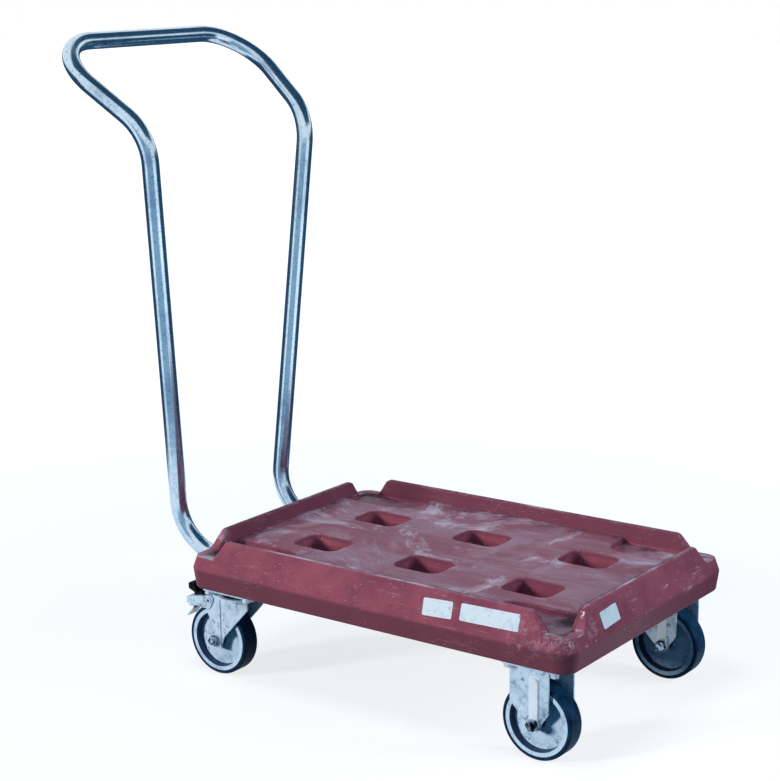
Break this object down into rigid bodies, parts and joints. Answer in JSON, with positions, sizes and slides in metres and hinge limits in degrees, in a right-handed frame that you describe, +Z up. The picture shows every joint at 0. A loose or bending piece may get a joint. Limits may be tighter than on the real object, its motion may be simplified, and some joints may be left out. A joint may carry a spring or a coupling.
{
  "type": "platform trolley for food boxes",
  "caption": "Low moulded platform trolley with raised rims and lowered corners, a bent tube push handle, fixed front castors and braked swivel castors at the rear.",
  "frame": {"origin": "on the floor, under the middle of the whole trolley's outline", "axes": "+X away from the handle, +Y to the left of someone pushing, +Z up"},
  "size_m": [1.0603, 0.5096, 1.089],
  "materials": {
    "platform_plastic": "moulded maroon plastic, scuffed",
    "handle_steel": "polished tube",
    "zinc_steel": "bright zinc plating",
    "tyre_rubber": "smooth black",
    "hub_plastic": "light grey",
    "tread_plastic": "black cover",
    "seal_plastic": "black",
    "insert_brass": "plain",
    "ball_steel": "polished"
  },
  "bodies": {
    "platform": {"castor_bolts": "zinc_steel", "castor_inserts": "insert_brass", "castor_washers": "zinc_steel", "front_left_axle_bolt": "zinc_steel", "front_left_axle_nut": "zinc_steel", "front_left_axle_sleeve": "zinc_steel", "front_left_fork": "zinc_steel", "front_right_axle_bolt": "zinc_steel", "front_right_axle_nut": "zinc_steel", "front_right_axle_sleeve": "zinc_steel", "front_right_fork": "zinc_steel", "handle_bolts": "zinc_steel", "handle_inserts": "insert_brass", "handle_washers": "zinc_steel", "platform_shell": "platform_plastic", "push_handle": "handle_steel", "rear_left_dust_seal": "seal_plastic", "rear_left_kingpin": "zinc_steel", "rear_left_kingpin_nut": "zinc_steel", "rear_left_race_balls": "ball_steel", "rear_left_swivel_plate": "zinc_steel", "rear_left_thrust_washer": "zinc_steel", "rear_right_dust_seal": "seal_plastic", "rear_right_kingpin": "zinc_steel", "rear_right_kingpin_nut": "zinc_steel", "rear_right_race_balls": "ball_steel", "rear_right_swivel_plate": "zinc_steel", "rear_right_thrust_washer": "zinc_steel"},
    "front_left_wheel": {"front_left_tyre": "tyre_rubber", "front_left_wheel_hub": "hub_plastic"},
    "front_right_wheel": {"front_right_tyre": "tyre_rubber", "front_right_wheel_hub": "hub_plastic"},
    "rear_left_swivel": {"rear_left_axle_bolt": "zinc_steel", "rear_left_axle_nut": "zinc_steel", "rear_left_axle_sleeve": "zinc_steel", "rear_left_fork": "zinc_steel", "rear_left_pedal_pin": "zinc_steel"},
    "rear_left_brake": {"rear_left_brake_pedal": "zinc_steel", "rear_left_brake_shoe": "zinc_steel", "rear_left_pedal_tread": "tread_plastic"},
    "rear_left_wheel": {"rear_left_tyre": "tyre_rubber", "rear_left_wheel_hub": "hub_plastic"},
    "rear_right_swivel": {"rear_right_axle_bolt": "zinc_steel", "rear_right_axle_nut": "zinc_steel", "rear_right_axle_sleeve": "zinc_steel", "rear_right_fork": "zinc_steel", "rear_right_pedal_pin": "zinc_steel"},
    "rear_right_brake": {"rear_right_brake_pedal": "zinc_steel", "rear_right_brake_shoe": "zinc_steel", "rear_right_pedal_tread": "tread_plastic"},
    "rear_right_wheel": {"rear_right_tyre": "tyre_rubber", "rear_right_wheel_hub": "hub_plastic"}
  },
  "joints": [
    {"name": "front_right_roll", "type": "hinge", "parent": "platform", "child": "front_right_wheel", "pos_m": [0.45125, -0.205, 0.0625], "axis": [0, 1, 0], "continuous": true},
    {"name": "rear_right_swivel_turn", "type": "hinge", "parent": "platform", "child": "rear_right_swivel", "pos_m": [-0.15675, -0.205, 0.148], "axis": [0, 0, 1], "continuous": true},
    {"name": "rear_right_roll", "type": "hinge", "parent": "rear_right_swivel", "child": "rear_right_wheel", "pos_m": [-0.19625, -0.205, 0.0625], "axis": [0, 1, 0], "continuous": true},
    {"name": "rear_right_brake_press", "type": "hinge", "parent": "rear_right_swivel", "child": "rear_right_brake", "pos_m": [-0.20545, -0.205, 0.134], "axis": [0, -1, 0], "range_deg": [0, 10.5]},
    {"name": "front_left_roll", "type": "hinge", "parent": "platform", "child": "front_left_wheel", "pos_m": [0.45125, 0.205, 0.0625], "axis": [0, 1, 0], "continuous": true},
    {"name": "rear_left_swivel_turn", "type": "hinge", "parent": "platform", "child": "rear_left_swivel", "pos_m": [-0.15675, 0.205, 0.148], "axis": [0, 0, 1], "continuous": true},
    {"name": "rear_left_roll", "type": "hinge", "parent": "rear_left_swivel", "child": "rear_left_wheel", "pos_m": [-0.19625, 0.205, 0.0625], "axis": [0, 1, 0], "continuous": true},
    {"name": "rear_left_brake_press", "type": "hinge", "parent": "rear_left_swivel", "child": "rear_left_brake", "pos_m": [-0.20545, 0.205, 0.134], "axis": [0, -1, 0], "range_deg": [0, 10.5]}
  ]
}
